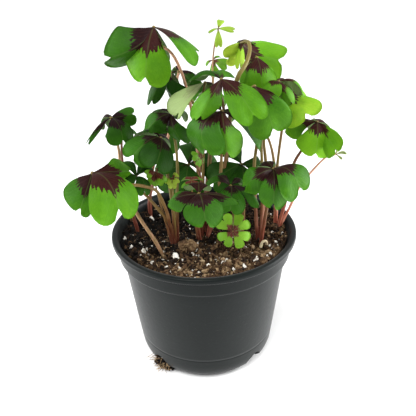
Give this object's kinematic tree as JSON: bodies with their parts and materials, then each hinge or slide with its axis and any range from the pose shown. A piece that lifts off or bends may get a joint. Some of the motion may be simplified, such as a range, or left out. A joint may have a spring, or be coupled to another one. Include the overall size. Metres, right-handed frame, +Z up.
{
  "type": "potted iron cross oxalis",
  "caption": "Potted iron cross oxalis: clover-like leaves with dark cross-shaped centres on slender bent stalks, rising from potting mix in a round nursery pot.",
  "frame": {"origin": "centre of the pot's flat underside", "axes": "+Z up along the pot's axis, -Y towards the front of the picture, +X to its right"},
  "size_m": [0.158, 0.1319, 0.2091],
  "materials": {
    "pot_plastic": "semi-matte dark grey-green",
    "potting_mix": "damp, crumbly",
    "stalk": "satin",
    "leaf": "satin",
    "shaded_leaf": "satin",
    "young_leaf": "satin",
    "pale_shoot": "satin"
  },
  "bodies": {
    "root": {"pot": "pot_plastic", "potting_mix": "potting_mix", "stalks_left": "stalk", "stalks_centre": "stalk", "stalks_right": "stalk", "stalks_far_right": "stalk", "stalks_far_left": "stalk", "stalks_back_left": "stalk", "stalks_front_left": "stalk", "stalks_front_right": "stalk", "leaf_top_left": "leaf", "leaf_behind_top_left": "shaded_leaf", "leaf_folded_left": "leaf", "leaf_turned_over": "leaf", "leaf_upper_centre": "leaf", "leaf_top_right": "leaf", "leaf_under_top_right": "leaf", "leaf_right_upper": "leaf", "leaf_right_broad": "leaf", "leaf_right_lime": "young_leaf", "leaf_far_right": "leaf", "leaf_lower_right": "leaf", "leaf_far_left": "leaf", "leaf_left_upper": "leaf", "leaf_centre_left": "leaf", "leaf_centre": "leaf", "leaf_lower_front": "leaf", "leaf_beside_lower_front": "leaf", "leaf_left_middle": "leaf", "leaf_left_shade": "shaded_leaf", "leaf_inner_shade": "shaded_leaf", "leaf_inner_right_shade": "shaded_leaf", "leaf_left_back": "shaded_leaf", "leaf_back_left": "leaf", "leaf_back_middle": "leaf", "leaf_back_right": "leaf", "young_red_eye_left": "young_leaf", "young_pale_bud": "young_leaf", "young_red_eye_right": "young_leaf", "young_hanging_bud": "young_leaf", "young_top_sprig": "young_leaf", "young_low_sprig": "young_leaf", "young_right_tip": "young_leaf", "young_front_clover": "young_leaf", "hooked_shoot": "pale_shoot"}
  },
  "joints": []
}
